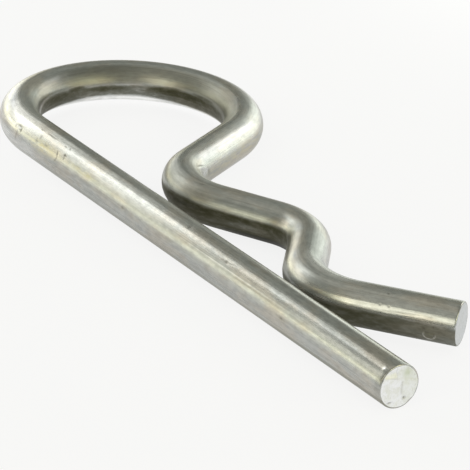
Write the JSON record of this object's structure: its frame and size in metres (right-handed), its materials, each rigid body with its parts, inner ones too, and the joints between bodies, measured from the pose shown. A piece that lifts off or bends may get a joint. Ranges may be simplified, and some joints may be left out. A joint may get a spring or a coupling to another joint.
{
  "type": "hitch pin clip",
  "caption": "R-shaped spring wire clip whose straight leg passes through a pin's cross-hole while the curved leg grips round the pin.",
  "frame": {"origin": "where the axis of the held pin crosses the axis of the straight leg", "axes": "+X along the straight leg to its free end, +Y from the straight leg to the curved leg, +Z along the held pin and square to the flat clip"},
  "size_m": [0.075, 0.026, 0.004],
  "materials": {
    "wire": "bright drawn wire"
  },
  "bodies": {
    "root": {"wire_clip": "wire"}
  },
  "joints": []
}
